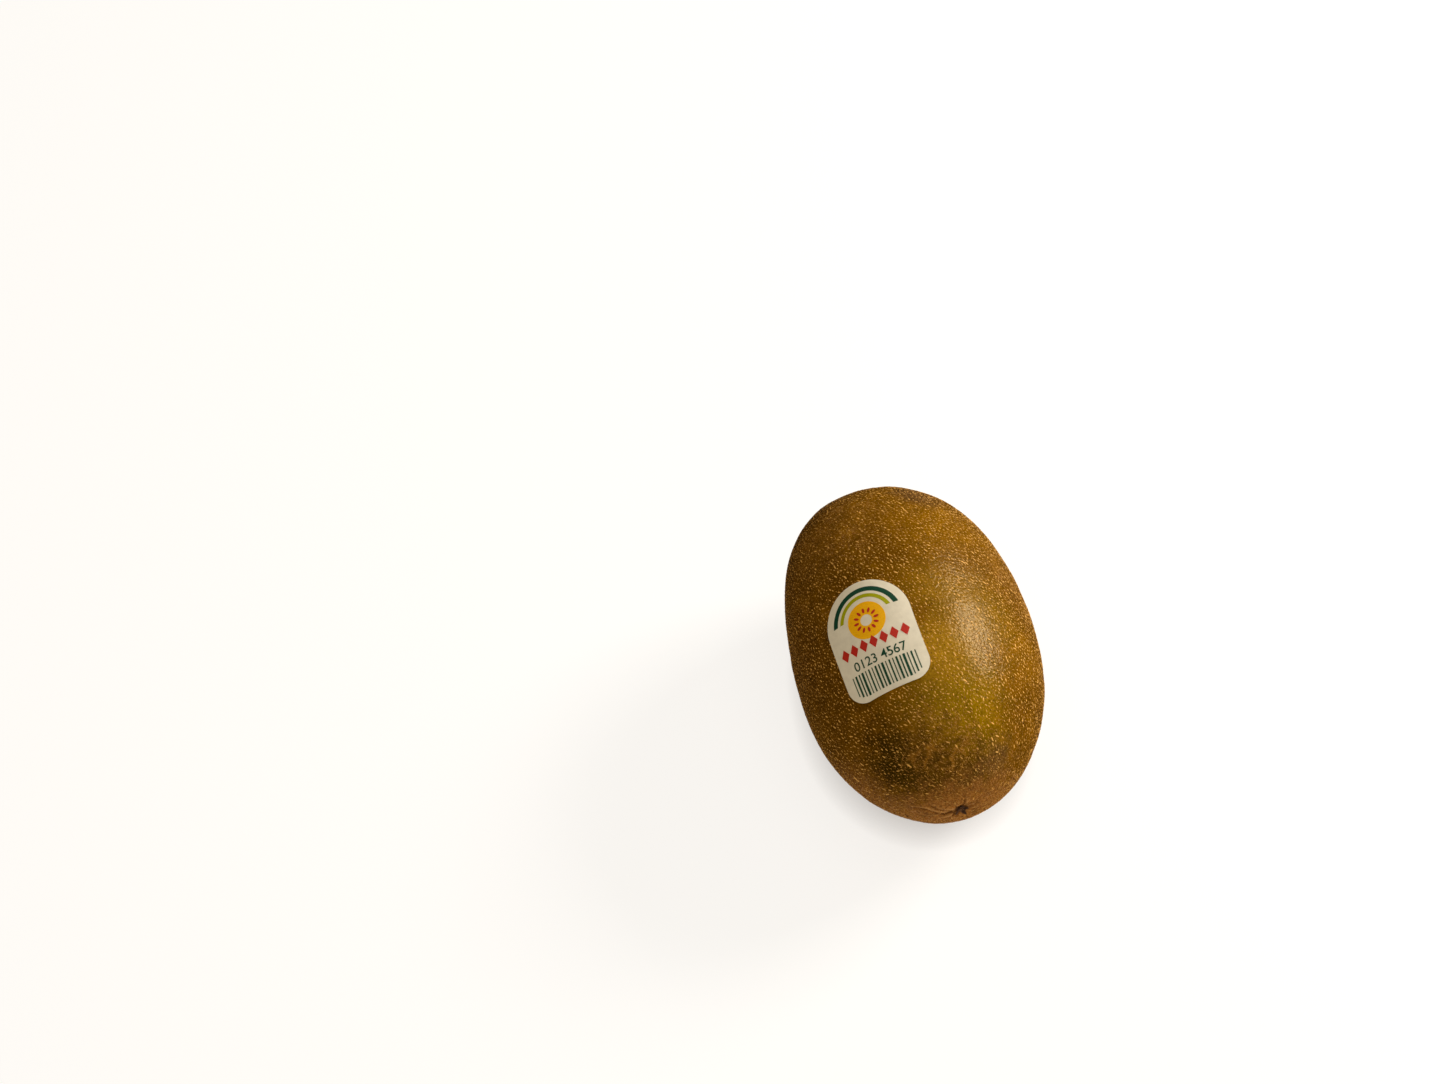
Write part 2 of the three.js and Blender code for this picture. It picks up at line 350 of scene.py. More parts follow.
def settle(piece):
    """Moves a piece's place, turn and scale into its mesh."""
    pick(piece)
    bpy.ops.object.transform_apply(location=True, rotation=True, scale=True)
    return piece


def apply(piece, kind, **settings):
    """Adds a modifier with its settings and applies it."""
    pick(piece)
    modifier = piece.modifiers.new(kind.lower(), kind)
    for name, value in settings.items():
        setattr(modifier, name, value)
    bpy.ops.object.modifier_apply(modifier=modifier.name)


def roughen(piece, size, height):
    """Moves the surface in and out by cloud noise whose lumps are size across and height high."""
    clouds = bpy.data.textures.new("clouds", "CLOUDS")
    clouds.noise_scale = size * MM
    clouds.noise_depth = 1
    apply(piece, "DISPLACE", texture=clouds, strength=height * MM, mid_level=0.5)
    bpy.data.textures.remove(clouds)
    return piece


def corners(piece):
    """The places of a piece's vertices, in millimetres."""
    flat = np.empty(len(piece.data.vertices) * 3)
    piece.data.vertices.foreach_get("co", flat)
    return flat.reshape(-1, 3) / MM


def move_corners(piece, places):
    """Moves a piece's vertices to places in millimetres."""
    piece.data.vertices.foreach_set("co", (np.asarray(places) * MM).ravel())
    piece.data.update()


def join(pieces):
    """Joins several objects into the first."""
    bpy.ops.object.select_all(action="DESELECT")
    for piece in pieces:
        piece.select_set(True)
    bpy.context.view_layer.objects.active = pieces[0]
    bpy.ops.object.join()
    return pieces[0]


def mark(mesh, name, values):
    """Gives each vertex of a mesh a value that materials can read."""
    mesh.attributes.new(name, "FLOAT", "POINT").data.foreach_set("value", values.astype(np.float32))


def put_in_scene(name, data):
    """A new object in the scene that holds this data."""
    piece = bpy.data.objects.new(name, data)
    bpy.context.scene.collection.objects.link(piece)
    return piece


def surface_of(piece):
    """The piece's surface, ready for rays."""
    mesh = piece.data
    return BVHTree.FromPolygons([v.co for v in mesh.vertices], [p.vertices for p in mesh.polygons])


def finish(piece, name, material, smooth=True):
    """Names a piece, gives it its material and smooth or flat shading, and lets it ride on the fruit."""
    piece.name = name
    piece.data.name = name
    piece.data.materials.clear()
    piece.data.materials.append(material)
    pick(piece)
    if smooth:
        bpy.ops.object.shade_smooth()
    else:
        bpy.ops.object.shade_flat()
    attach(piece, "root")


# ---- the form of the skin

def bell(x, width):
    """1 where x is 0, falling off on both sides over about this width."""
    return np.exp(-((x / width) ** 2))


def step(x, low, high):
    """0 below low, 1 above high, smooth between."""
    share = np.clip((x - low) / (high - low), 0, 1)
    return share * share * (3 - 2 * share)


def angle_between(around, middle):
    """How far round from the middle, the short way, from -pi to pi."""
    return (around - middle + math.pi) % (2 * math.pi) - math.pi


def stem_relief(radius):
    """How far the stem end stands out at a distance from the long axis: hollow, woody ring and scar."""
    hollow = -STEM_HOLLOW["depth"] * bell(radius, STEM_HOLLOW["radius"])
    ring = STEM_RING["height"] * bell(radius - STEM_RING["radius"], STEM_RING["width"])
    inside, outside = STALK_SCAR["radius"] - STALK_SCAR["edge"], STALK_SCAR["radius"] + STALK_SCAR["edge"]
    scar = STALK_SCAR["height"] * (1 - step(radius, inside, outside))
    return hollow + ring + scar - STALK_SCAR["pit"] * bell(radius, STALK_SCAR["pit_radius"])


def creases(radius, around):
    """How deep the blossom end's creases are, and how high their lips stand, in millimetres."""
    depth, lip = 0.0, 0.0
    for crease in CREASES:
        phase = CREASE_BEND["pace"] * radius + CREASE_BEND["shift"] * crease["long"]
        bend = crease["round"] + CREASE_BEND["angle"] * np.sin(phase)
        aside = angle_between(around, bend) * radius
        fade = step(radius, *CREASE_START) * (1 - step(radius, CREASE_FADE * crease["long"], crease["long"]))
        depth = depth + crease["deep"] * bell(aside, crease["wide"]) * fade
        beside = bell(aside - CREASE_LIP["out"] * crease["wide"], crease["wide"])
        lip = lip + CREASE_LIP["high"] * crease["deep"] * beside * fade
    return depth, lip


def blossom_relief(radius, around):
    """How far the blossom end stands out: creases and their lips, a dent, and the pit of the scar."""
    depth, lip = creases(radius, around)
    right = radius * np.sin(around) - TIP_DENT["radius"] * np.sin(TIP_DENT["round"])
    up = radius * np.cos(around) - TIP_DENT["radius"] * np.cos(TIP_DENT["round"])
    dent = TIP_DENT["depth"] * bell(np.hypot(right, up), TIP_DENT["width"])
    return lip - depth - dent - BLOSSOM_PIT["depth"] * bell(radius, BLOSSOM_PIT["radius"])


def profile(polar):
    """How far along and how far out the body is, as shares, at an angle from the stem pole."""
    cosine = np.cos(polar)
    towards_stem = 0.5 + 0.25 * cosine * (3 - cosine**2)
    power = BLUNTNESS["blossom"] + (BLUNTNESS["stem"] - BLUNTNESS["blossom"]) * towards_stem
    return np.sign(cosine) * np.abs(cosine) ** (2 / power), np.maximum(np.sin(polar), 0) ** (2 / power)


def skin_point(polar, around):
    """Places on the smooth skin, from the middle of the body."""
    reach, girth = profile(polar)
    swell = sum(s["height"] * np.sin(s["lobes"] * around + s["turn"] + s["drift"] * reach) for s in SWELLS)
    radius = girth * HALF_WIDTH
    x = (girth * HALF_WIDTH + girth**2 * swell) * np.sin(around)
    z = (girth * HALF_HEIGHT + girth**2 * swell) * np.cos(around)
    relief = np.where(reach > 0, stem_relief(radius), -blossom_relief(radius, around))
    return np.stack([x, reach * HALF_LENGTH + relief, z], axis=-1)


POLARS = np.linspace(0, math.pi, 2001)


def polar_at(along):
    """The angle from the stem pole at which the skin is this far along the fruit."""
    return np.interp(-along, -profile(POLARS)[0] * HALF_LENGTH, POLARS)


def body_middle():
    """The middle of the body in the row frame, found by laying the smooth skin into the solid's box."""
    low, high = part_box("fruit")
    polar, around = np.meshgrid(POLARS[::10], np.linspace(0, 2 * math.pi, 361))
    skin = skin_point(polar, around).reshape(-1, 3)
    sideways = (low.x + high.x) / 2 / MM - (skin[:, 0].min() + skin[:, 0].max()) / 2
    return np.array([sideways, 0.0, high.z / MM - skin[:, 2].max()])


MIDDLE = body_middle()


def skin_slopes(polar, around):
    """How a place on the smooth skin moves as polar and as around grow, each by two tiny steps."""
    down = skin_point(polar + TINY, around) - skin_point(polar - TINY, around)
    across = skin_point(polar, around + TINY) - skin_point(polar, around - TINY)
    return down, across


def skin_frame(polar, around):
    """For places on the smooth skin: the place in the row frame, and the directions across, up and out."""
    down, across = skin_slopes(polar, around)
    up = -down
    out = np.cross(across, up)
    out /= np.linalg.norm(out, axis=-1, keepdims=True)
    up /= np.linalg.norm(up, axis=-1, keepdims=True)
    return skin_point(polar, around) + MIDDLE, np.cross(up, out), up, out


def zone_centre(zone):
    """The middle of a zone, in the row frame."""
    return skin_point(polar_at(np.array(zone["along"])), np.array(zone["round"])) + MIDDLE


# ---- the skin

def smooth_skin():
    """The body before its fine relief: a ball with its poles at the two ends, drawn to the form and dented.
    It is marked for the material with where its creases and russet strands are."""
    bpy.ops.mesh.primitive_uv_sphere_add(
        segments=SKIN_SEGMENTS, ring_count=SKIN_RINGS, radius=1, rotation=(-math.pi / 2, 0, 0)
    )
    body = settle(bpy.context.object)
    ball = corners(body) * MM
    polar = np.arctan2(np.hypot(ball[:, 0], ball[:, 2]), ball[:, 1])
    polar -= END_CROWDING * np.sin(2 * polar) / 2
    around = np.arctan2(ball[:, 0], ball[:, 2])
    places = skin_point(polar, around) + MIDDLE
    move_corners(body, places)
    depth, lip = creases(profile(polar)[1] * HALF_WIDTH, around)
    mark(body.data, "crease", np.where(np.cos(polar) < 0, depth - lip, 0))
    mark(body.data, "strand", strands(places))
    return roughen(body, **DENTS)


def cut_level():
    """Cuts away what lies below Z = 0, and closes the cut."""
    bpy.ops.mesh.bisect(
        plane_co=(0, 0, 0), plane_no=(0, 0, 1), use_fill=True, clear_inner=True, threshold=1e-7
    )


def press_flat(body):
    """Cuts the skin level where the fruit rests."""
    open_all(body)
    cut_level()
    close(body)


# ---- grains of cork

def grain_model(round_top):
    """One grain, 1 long and 1 wide: the upper half of a ball, or a low cone 1 high. Both are closed below."""
    if not round_top:
        bpy.ops.mesh.primitive_cone_add(vertices=5, radius1=0.5, depth=1, location=(0, 0, 0.5))
        return settle(bpy.context.object)
    bpy.ops.mesh.primitive_uv_sphere_add(segments=5, ring_count=4, radius=0.5)
    grain = open_all(bpy.context.object)
    cut_level()
    bpy.ops.mesh.quads_convert_to_tris()
    return close(grain)


def chance_places(count, random):
    """Places strewn evenly over the skin by chance, as polar and around."""
    polar, around = np.meshgrid(POLARS[1:-1:4], np.linspace(0, 2 * math.pi, 37)[:-1], indexing="ij")
    down, across = skin_slopes(polar, around)
    area = np.linalg.norm(np.cross(down / (2 * TINY), across / (2 * TINY)), axis=-1).mean(axis=1)
    total = np.cumsum(area)
    polar = np.interp(random.uniform(0.0005, 0.9995, count) * total[-1], total, polar[:, 0])
    return polar, random.uniform(0, 2 * math.pi, count)


def keep_clear(places, gaps, taken):
    """Which places, in their order, are clear of all those taken before them. It adds them to the taken."""
    near = [(i, j, k) for i in (-1, 0, 1) for j in (-1, 0, 1) for k in (-1, 0, 1)]
    kept = []
    for index, (place, gap) in enumerate(zip(places.tolist(), gaps.tolist())):
        x, y, z = place
        home = (int(x // BOX), int(y // BOX), int(z // BOX))
        others = (o for i, j, k in near for o in taken.get((home[0] + i, home[1] + j, home[2] + k), ()))
        if all((x - o[0]) ** 2 + (y - o[1]) ** 2 + (z - o[2]) ** 2 > gap * gap for o in others):
            kept.append(index)
            taken.setdefault(home, []).append(place)
    return np.array(kept)


def patchiness(places, size):
    """Slow noise from 0 to 1 at each place, its patches this many millimetres wide."""
    return np.array([0.5 + 0.5 * noise.noise(Vector(p / size)) for p in places])


def strands(places):
    """A broken net of fine strands of cork: 1 in the middle of a strand, 0 away from them."""
    net = np.abs(2 * patchiness(places, NET["size"]) - 1)
    elsewhere = places + 70  # so that the patches owe nothing to the net
    return np.clip(1 - net / NET["width"], 0, 1) * step(patchiness(elsewhere, NET["patch"]), *NET["edge"])


def russet_share(places):
    """How much russet the skin holds at each place in the row frame, from 0 to 1."""
    share = np.zeros(len(places))
    for zone in ZONES:
        away = np.linalg.norm(places - zone_centre(zone), axis=1) / zone["reach"]
        share = np.maximum(share, zone["russet"] * (1 - step(away, 1 - zone["soft"], RUSSET_EDGE)))
    return share


def worn(places):
    """How far the grains have worn down towards the blossom end, from 0 to 1."""
    return step(-places[:, 1], *WORN)


def under_label(polar, around):
    """Whether a place lies under the label or at its very edge."""
    reach, girth = profile(polar)
    up = reach * HALF_LENGTH - LABEL_PLACE["along"]
    across = angle_between(around, LABEL_PLACE["round"]) * girth * HALF_WIDTH
    half_width, half_height = LABEL["width"] / 2, LABEL["height"] / 2
    from_arch = np.hypot(across, np.maximum(up - half_height + half_width, 0))
    beside = (np.abs(across) < half_width + LABEL_CLEAR) & (np.abs(up) < half_height + LABEL_CLEAR)
    return beside & (from_arch < half_width + LABEL_CLEAR)


def scatter(name, grains, chance, tone, body, taken, random):
    """Copies of the grain on the skin where chance says, joined in one mesh with a tone for each."""
    model = grain_model(grains["round_top"])
    shape = corners(model) * MM
    faces = [tuple(face.vertices) for face in model.data.polygons]
    bpy.data.objects.remove(model)

    polar, around = chance_places(grains["count"] * TRIES, random)
    smooth_place, across, up, out = skin_frame(polar, around)
    off_axis = np.hypot(smooth_place[:, 0] - MIDDLE[0], smooth_place[:, 2] - MIDDLE[2])
    end = np.where(smooth_place[:, 1] > 0, ENDS_CLEAR["stem"], ENDS_CLEAR["blossom"])
    free = (smooth_place[:, 2] > FOOT_CLEAR) & (off_axis > end) & ~under_label(polar, around)
    wanted = np.flatnonzero(random.random(len(polar)) < chance(smooth_place) * free)
    gaps = grains["gap"] * random.uniform(*GAP_SHARES, len(wanted))
    wanted = wanted[keep_clear(smooth_place[wanted], gaps, taken)][:grains["count"]]
    smooth_place, across, up, out, around = (a[wanted] for a in (smooth_place, across, up, out, around))

    count = len(wanted)
    size = np.exp(random.normal(0, grains["spread"], count))
    long = grains["long"] * size * np.exp(random.normal(0, LONG_SPREAD, count))
    wide = grains["wide"] * size ** GROWTH["wide"]
    high = grains["high"] * size ** GROWTH["high"]
    turn = random.normal(LEAN["mean"] + LEAN["swing"] * np.sin(around), grains["turn"])
    ahead = up * np.cos(turn)[:, None] + across * np.sin(turn)[:, None]
    aside = across * np.cos(turn)[:, None] - up * np.sin(turn)[:, None]
    axes = np.stack([aside, ahead, out], axis=1)
    local = shape[None, :, :] * np.stack([wide, long, high], axis=1)[:, None, :]
    skin = surface_of(body)
    seat = np.array([
        skin.ray_cast(Vector((p + o) * MM), Vector(-o))[0] or Vector(p * MM)
        for p, o in zip(smooth_place, out)
    ]) / MM
    places = np.einsum("nvi,nij->nvj", local, axes) + (seat - out * (high * GRAIN_SINK)[:, None])[:, None, :]

    mesh = bpy.data.meshes.new(name)
    first_corners = np.arange(count)[:, None] * len(shape)
    all_faces = [tuple(row) for face in faces for row in (np.array(face)[None, :] + first_corners).tolist()]
    mesh.from_pydata((places.reshape(-1, 3) * MM).tolist(), [], all_faces)
    mark(mesh, "tone", np.repeat(np.clip(tone(size, seat, random), 0, 1), len(shape)))
    return put_in_scene(name, mesh)


# ---- the label

def dice(piece, size):
    """Cuts a flat piece by lines both ways, so that no face is larger than size."""
    open_all(piece)
    for axis, reach in ((0, LABEL["width"]), (1, LABEL["height"])):
        cuts = math.ceil(reach / size)
        for i in range(1, cuts):
            place, normal = [0, 0, 0], [0, 0, 0]
            place[axis] = (i / cuts - 0.5) * reach * MM
            normal[axis] = 1
            bpy.ops.mesh.select_all(action="SELECT")
            bpy.ops.mesh.bisect(plane_co=place, plane_no=normal)
    return close(piece)


def lay_on(piece, target, offset, thickness):
    """Turns a flat piece to face the skin at the label's place, presses it on the target and thickens it."""
    polar = polar_at(np.array(LABEL_PLACE["along"]))
    place, across, up, out = skin_frame(polar, np.array(LABEL_PLACE["round"]))
    turned = Matrix((across, up, out)).transposed().to_4x4()
    turned.translation = Vector((place + out * LABEL_START) * MM)
    piece.matrix_world = turned
    apply(
        piece, "SHRINKWRAP", target=target, wrap_method="PROJECT", wrap_mode="ABOVE_SURFACE",
        use_project_z=True, use_negative_direction=True, use_positive_direction=False, offset=offset * MM,
    )
    apply(piece, "SOLIDIFY", thickness=thickness * MM, offset=1, use_even_offset=True)
    return settle(piece)


def flat_film():
    """The label's outline: a sheet with round lower corners and a full arch above."""
    bpy.ops.mesh.primitive_plane_add(size=1)
    film = bpy.context.object
    film.scale = (LABEL["width"] * MM, LABEL["height"] * MM, 1)
    settle(film)
    edge = LABEL["height"] / 2 * MM
    for level, radius, segments in (
        (edge, LABEL["width"] / 2 - ARCH_SHORT, ARCH_SEGMENTS),
        (-edge, LABEL["corner"], CORNER_SEGMENTS),
    ):
        open_all(film)
        bpy.ops.mesh.select_all(action="DESELECT")
        close(film)
        for vertex in film.data.vertices:
            vertex.select = abs(vertex.co.y - level) < 1e-6
        bpy.ops.object.mode_set(mode="EDIT")
        bpy.ops.mesh.select_mode(type="VERT")
        bpy.ops.mesh.bevel(offset=radius * MM, segments=segments, affect="VERTICES", profile=0.5)
        close(film)
    return film


def disc(shape, across, up):
    """A flat disc with so many sides, stretched upwards."""
    bpy.ops.mesh.primitive_circle_add(
        vertices=shape["sides"], radius=shape["radius"] * MM, fill_type="NGON",
        location=(across * MM, up * MM, 0),
    )
    piece = bpy.context.object
    piece.scale = (1, shape["stretch"], 1)
    return settle(piece)


def ring(up, inner, outer, lowest=None):
    """A flat ring, cut level at a height above its centre where lowest is given."""
    bpy.ops.mesh.primitive_circle_add(vertices=RING_SIDES, radius=inner * MM, location=(0, 0, 0))
    piece = open_all(bpy.context.object)
    bpy.ops.mesh.extrude_edges_move()
    bpy.ops.transform.resize(value=(outer / inner, outer / inner, 1))
    if lowest is not None:
        bpy.ops.mesh.select_all(action="SELECT")
        bpy.ops.mesh.bisect(plane_co=(0, lowest * MM, 0), plane_no=(0, 1, 0), clear_inner=True)
    close(piece)
    piece.location = (0, up * MM, 0)
    return settle(piece)


def bar(across, low, high, width):
    """An upright bar."""
    bpy.ops.mesh.primitive_plane_add(size=1, location=(across * MM, (low + high) / 2 * MM, 0))
    piece = bpy.context.object
    piece.scale = (width * MM, (high - low) * MM, 1)
    return settle(piece)


def digits(text, up, size, bold):
    """A centred row of plain digits, made a flat mesh."""
    bpy.ops.object.text_add(location=(0, up * MM, 0))
    writing = bpy.context.object.data
    writing.body = text
    writing.size = size * MM
    writing.align_x = "CENTER"
    writing.align_y = "CENTER"
    writing.offset = bold * MM
    bpy.ops.object.convert(target="MESH")
    return settle(bpy.context.object)


def centred(row):
    """How far across each one in a centred row lies."""
    return [(i - (row["count"] - 1) / 2) * row["pitch"] for i in range(row["count"])]


def prints():
    """The printed design, as flat pieces for each ink."""
    inks = {"ink_green": [], "ink_lime": [], "ink_amber": [], "ink_red": []}
    for ink, inner, outer in ARCS:
        inks[ink].append(ring(DOME["up"], inner, outer, ARCS_LOWEST))
    inks["ink_amber"].append(ring(DOME["up"], DOME["core"], DOME["radius"]))
    for i in range(SEEDS["count"]):
        seed = disc(SEEDS, 0, SEEDS["out"])
        seed.rotation_euler.z = 2 * math.pi * i / SEEDS["count"]
        seed.location = (0, DOME["up"] * MM, 0)
        inks["ink_red"].append(settle(seed))
    for across in centred(LOZENGES):
        inks["ink_red"].append(disc(LOZENGES, across, LOZENGES["up"]))
    inks["ink_green"].append(digits(**DIGITS))
    flat_foot = LABEL["width"] / 2 - LABEL["corner"] - BARS["early"]
    for i, across in enumerate(centred(BARS)):
        beyond = max(0.0, abs(across) - flat_foot)  # the outer bars stop short of the round corners
        low = -LABEL["height"] / 2 + BARS["foot"] + beyond**2 / LABEL["corner"] * BARS["rise"]
        inks["ink_green"].append(bar(across, low, BARS["high"], BAR_WIDTHS[i % len(BAR_WIDTHS)]))
    return {ink: join(pieces) for ink, pieces in inks.items()}


# ---- the two ends

def on_end(skin, radius, around, lift, end):
    """Places over the skin at one end (1 stem, -1 blossom), at a distance from the long axis."""
    x, z = radius * np.sin(around) + MIDDLE[0], radius * np.cos(around) + MIDDLE[2]
    outside = end * 1.5 * HALF_LENGTH
    places = []
    for px, pz, raised in zip(x.ravel(), z.ravel(), np.broadcast_to(lift, x.shape).ravel()):
        hit = skin.ray_cast(Vector((px, outside, pz)) * MM, Vector((0, -end, 0)))[0]
        places.append((px, hit.y / MM + end * raised, pz))
    return np.array(places)


def round_corners(piece):
    """How far out and how far round each corner of a flat round piece, not yet in metres, lies."""
    flat = corners(piece) * MM
    return np.hypot(flat[:, 0], flat[:, 1]), np.arctan2(flat[:, 0], flat[:, 1])


def face_outwards(piece):
    """Merges a piece's doubles and turns its faces outwards."""
    open_all(piece)
    bpy.ops.mesh.remove_doubles(threshold=0.001 * MM)
    bpy.ops.mesh.normals_make_consistent(inside=False)
    return close(piece)


def blade(skin, end, turn, shape, random):
    """One dried, pointed blade that lies outwards over the skin: a grid, shaped, thickened and rounded. Side
    goes from -1 to 1 across it and out from 0 at its root to 1 at its tip."""
    bpy.ops.mesh.primitive_grid_add(x_subdivisions=BLADE_GRID[0], y_subdivisions=BLADE_GRID[1], size=1)
    piece = bpy.context.object
    grid = corners(piece) * MM
    side, out = 2 * grid[:, 0], grid[:, 1] + 0.5
    long = shape["long"] * random.uniform(0.75, 1.15)
    wide = shape["wide"] * random.uniform(0.8, 1.15)
    twist, phase, rise = random.uniform(-0.3, 0.3), random.uniform(0, 6), random.uniform(0.6, 1.4)
    taper = 1 - 0.9 * out**1.7 + 0.09 * np.sin(17 * out + phase) * side
    across = side * taper * wide / 2
    notches = 1 - 0.12 * side**2 * np.sin(5 * side + phase)
    radius = shape["root"] + out * long * notches + twist * across * out
    around = turn + across / np.maximum(radius, 0.3 * shape["wide"])
    crumple = 0.35 * shape["rise"] * np.sin(3 * side + 4 * out + phase) * out
    lift = shape["thick"] * 0.4 + shape["rise"] * rise * out**1.5 + shape["cup"] * side**2 * out + crumple
    move_corners(piece, on_end(skin, radius, around, lift, end))
    apply(piece, "SOLIDIFY", thickness=shape["thick"] * MM, offset=0)
    apply(piece, "SUBSURF", levels=1, render_levels=1)
    return face_outwards(piece)


def blades(skin, end, shape, random):
    """A whorl of blades, unevenly spaced round the long axis."""
    count = shape["count"]
    turns = 2 * math.pi * (np.arange(count) + random.uniform(0, 0.35, count)) / count
    return join([blade(skin, end, turn, shape, random) for turn in turns])


def woody_plate(skin):
    """The woody plate at the stem end: a ring drawn out from its hole in steps, wrinkled, with a torn rim."""
    bpy.ops.mesh.primitive_circle_add(vertices=PLATE["sides"], radius=PLATE["inner"])
    plate = open_all(bpy.context.object)
    pace = (PLATE["outer"] / PLATE["inner"]) ** (1 / PLATE["rings"])
    for _ in range(PLATE["rings"]):
        bpy.ops.mesh.extrude_edges_move()
        bpy.ops.transform.resize(value=(pace, pace, pace))
    close(plate)
    radius, around = round_corners(plate)
    share = (radius - PLATE["inner"]) / (PLATE["outer"] - PLATE["inner"])
    torn = 0.5 * np.sin(5 * around + 1) + 0.3 * np.sin(13 * around) + 0.25 * np.sin(29 * around + 2)
    wrinkle = 0.09 * np.sin(23 * around + 3 * share) * share
    wrinkle += 0.08 * np.sin(9 * radius + 2 * np.sin(3 * around))
    lift = PLATE["lift"] + wrinkle + 0.3 * share**4 * (1 + 0.8 * np.sin(7 * around))
    radius = radius + PLATE["ragged"] * torn * share**2
    move_corners(plate, on_end(skin, radius, around, lift, 1))
    apply(plate, "SOLIDIFY", thickness=PLATE["thick"] * MM, offset=0)
    return face_outwards(plate)


def stalk_scar(skin):
    """Where the stalk broke off: a low round stump with a raised rim and a sunken core."""
    bpy.ops.mesh.primitive_circle_add(vertices=SCAR["sides"], radius=SCAR["radius"], fill_type="NGON")
    scar = open_all(bpy.context.object)
    for _ in range(SCAR["rings"]):
        bpy.ops.mesh.inset(thickness=SCAR["radius"] / (SCAR["rings"] + 1))
    close(scar)
    radius, around = round_corners(scar)
    rim = 0.28 * bell(radius - 1.45, 0.35) - 0.25 * bell(radius, 0.6) - 0.5 * step(radius, 1.7, 2.0)
    rough = 0.06 * np.sin(11 * around + 4 * radius) + 0.05 * np.sin(7 * radius + 5 * around)
    uneven = radius * (1 + 0.05 * np.sin(3 * around + 1) + 0.03 * np.sin(8 * around))
    move_corners(scar, on_end(skin, uneven, around, SCAR["lift"] + rim + rough, 1))
    apply(scar, "SOLIDIFY", thickness=SCAR["thick"] * MM, offset=-1)
    return face_outwards(scar)


def dried_styles(skin, random):
    """Fine dried styles that stand out of the blossom scar: tapered curves, made a mesh."""
    curve = bpy.data.curves.new("styles", "CURVE")
    curve.dimensions = "3D"
    curve.bevel_depth = STYLES["thick"] / 2 * MM
    curve.bevel_resolution = 1
    curve.use_fill_caps = True
    out = np.linspace(0, 1, STYLES["points"])
    for i in range(STYLES["count"]):
        turn = 2 * math.pi * (i + random.uniform(-0.4, 0.4)) / STYLES["count"]
        long = STYLES["long"] * random.uniform(0.5, 1.1)
        lean, curl = random.uniform(0.2, 0.9), random.uniform(-1, 1)
        radius = 0.15 + long * out * lean
        lift = 0.05 + long * 0.55 * (1 - lean) * out + 0.1 * np.sin(5 * out + curl)
        route = on_end(skin, radius, turn + 0.5 * curl * out**2, lift, -1)
        spline = curve.splines.new("POLY")
        spline.points.add(len(route) - 1)
        for point, place, share in zip(spline.points, route, out):
            point.co = (*(place * MM), 1)
            point.radius = 1 - 0.7 * share
    pick(put_in_scene("styles", curve))
    bpy.ops.object.convert(target="MESH")
    return bpy.context.object


# ---- materials

def shaded(tree, tint, unevenness, darkest, lightest):
    """A colour made darker and lighter by a noise, most of whose values lie between 0.3 and 0.7."""
    shade = add(tree, "MapRange", {}, {
        "Value": unevenness, "From Min": 0.3, "From Max": 0.7, "To Min": darkest, "To Max": lightest})
    return add(tree, "VectorMath", SCALE, {0: tint, "Scale": shade})


def surface(tree, tint, relief, strength, depth, gloss):
    """The outside of a material: its colour, a relief this many millimetres deep, and its gloss."""
    bump = add(tree, "Bump", {}, {"Height": relief, "Strength": strength, "Distance": depth * MM})
    shader = add(tree, "BsdfPrincipled", {}, {"Base Color": tint, "Normal": bump, **gloss})
    add(tree, "OutputMaterial", {}, {"Surface": shader})


def blotch(tree, place, zone, mottle):
    """A soft-edged blotch of a zone on the skin, its edge broken by the mottle."""
    centred = add(tree, "Mapping", {"vector_type": "TEXTURE"}, {
        "Vector": place,
        "Location": tuple(zone_centre(zone) * MM),
        "Scale": (zone["reach"] * MM,) * 3,
    })
    away = add(tree, "VectorMath", {"operation": "LENGTH"}, {0: centred}, output="Value")
    uneven = add(tree, "Math", MULTIPLY_ADD, {0: mottle, 1: ZONE_EDGE["broken"], 2: away})
    return add(tree, "MapRange", SMOOTH, {
        "Value": uneven,
        "From Min": ZONE_EDGE["at"],
        "From Max": ZONE_EDGE["at"] - zone["soft"],
        "To Max": zone["strength"],
    })


def zoned(tree, place, tint, mottle):
    """A tint with the zones laid over it, the russet ones broken into strands, and where it is coarse."""
    strand = add(tree, "Attribute", {"attribute_name": "strand"}, output="Fac")
    strand = add(tree, "MapRange", {}, {"Value": strand, "From Max": 0.7, "To Min": 0.3, "To Max": 1.0})
    coarse = 0.0
    for zone in ZONES:
        cover = blotch(tree, place, zone, mottle)
        if zone["name"] == "russet":
            cover = add(tree, "Math", {**MULTIPLY, "use_clamp": True}, {0: cover, 1: strand})
        tint = add(tree, "Mix", RGBA, {0: cover, UNDER: tint, OVER: colour(zone["name"])}, MIXED)
        if zone["russet"] > COARSE_RUSSET:
            coarse = add(tree, "Math", {"operation": "MAXIMUM"}, {0: cover, 1: coarse})
    return tint, coarse


